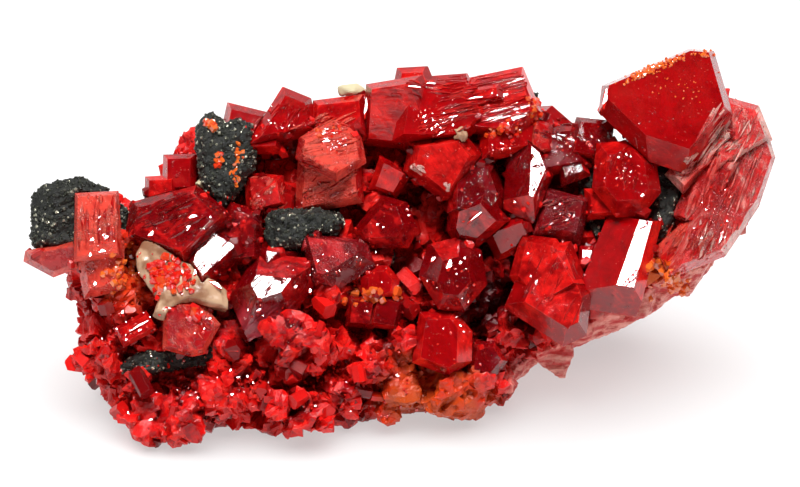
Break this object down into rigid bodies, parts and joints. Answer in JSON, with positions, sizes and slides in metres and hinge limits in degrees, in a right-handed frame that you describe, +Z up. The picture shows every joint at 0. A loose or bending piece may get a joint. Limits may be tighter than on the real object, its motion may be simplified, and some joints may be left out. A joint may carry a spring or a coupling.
{
  "type": "realgar specimen",
  "caption": "Miniature mineral specimen: red realgar crystals on granular red ore, with black sulphide lumps and a little calcite, cut flat underneath to rest on a surface.",
  "frame": {"origin": "middle of the bounding box in X and Y, on the flat underside", "axes": "+Z up, +X along the long side to the right of someone who looks at the crystals, +Y away from them"},
  "size_m": [0.0528, 0.0284, 0.0248],
  "materials": {
    "massive_ore": "rough granular realgar, in places orange and ochre",
    "deep_realgar": "glossy translucent deep red crystal",
    "bright_realgar": "glossy translucent bright red crystal",
    "frosted_realgar": "frosted pinkish red crystal",
    "black_sulphide": "black granular with fine glitter",
    "calcite": "waxy tan to cream"
  },
  "bodies": {
    "root": {"ore": "massive_ore", "big_top_crystal": "deep_realgar", "right_columns": "frosted_realgar", "ember_ridge": "bright_realgar", "long_mirror_prism": "deep_realgar", "front_right_crystal": "bright_realgar", "seed_mirror_crystal": "deep_realgar", "right_middle_crystal": "deep_realgar", "frosted_square_crystal": "frosted_realgar", "back_right_crystals": "deep_realgar", "arrow_mirror_crystal": "deep_realgar", "scarlet_crystal": "bright_realgar", "middle_crystals": "deep_realgar", "spangled_crystal": "deep_realgar", "heart_crystal": "bright_realgar", "small_wedge_crystal": "deep_realgar", "smoky_facet_crystal": "deep_realgar", "orange_finger": "bright_realgar", "crown_crystals": "deep_realgar", "striated_block": "bright_realgar", "frosted_crystal": "frosted_realgar", "cavity_crystals": "bright_realgar", "back_left_crystals": "deep_realgar", "wedge_crystal": "deep_realgar", "left_mirror_crystal": "deep_realgar", "shaded_crystal": "deep_realgar", "broad_mirror_crystal": "deep_realgar", "orange_block": "bright_realgar", "left_wing_crystal": "bright_realgar", "frosted_block": "frosted_realgar", "glossy_slab": "deep_realgar", "stepped_crystals": "deep_realgar", "hexagonal_crystal": "deep_realgar", "lower_red_pair": "bright_realgar", "domed_crystal": "deep_realgar", "smoky_crystal": "deep_realgar", "back_crystal_1": "deep_realgar", "back_crystal_2": "bright_realgar", "back_crystal_3": "deep_realgar", "back_crystal_4": "bright_realgar", "back_crystal_5": "deep_realgar", "back_crystal_6": "bright_realgar", "back_crystal_7": "deep_realgar", "black_knob": "black_sulphide", "black_pillar": "black_sulphide", "black_bar": "black_sulphide", "black_seam": "black_sulphide", "black_core": "black_sulphide", "black_pocket": "black_sulphide", "black_wall": "black_sulphide", "black_crown_spot": "black_sulphide", "tan_calcite_star": "calcite", "cream_calcite_knob": "calcite", "pale_calcite_fleck": "calcite", "pale_calcite_edge": "calcite"}
  },
  "joints": []
}
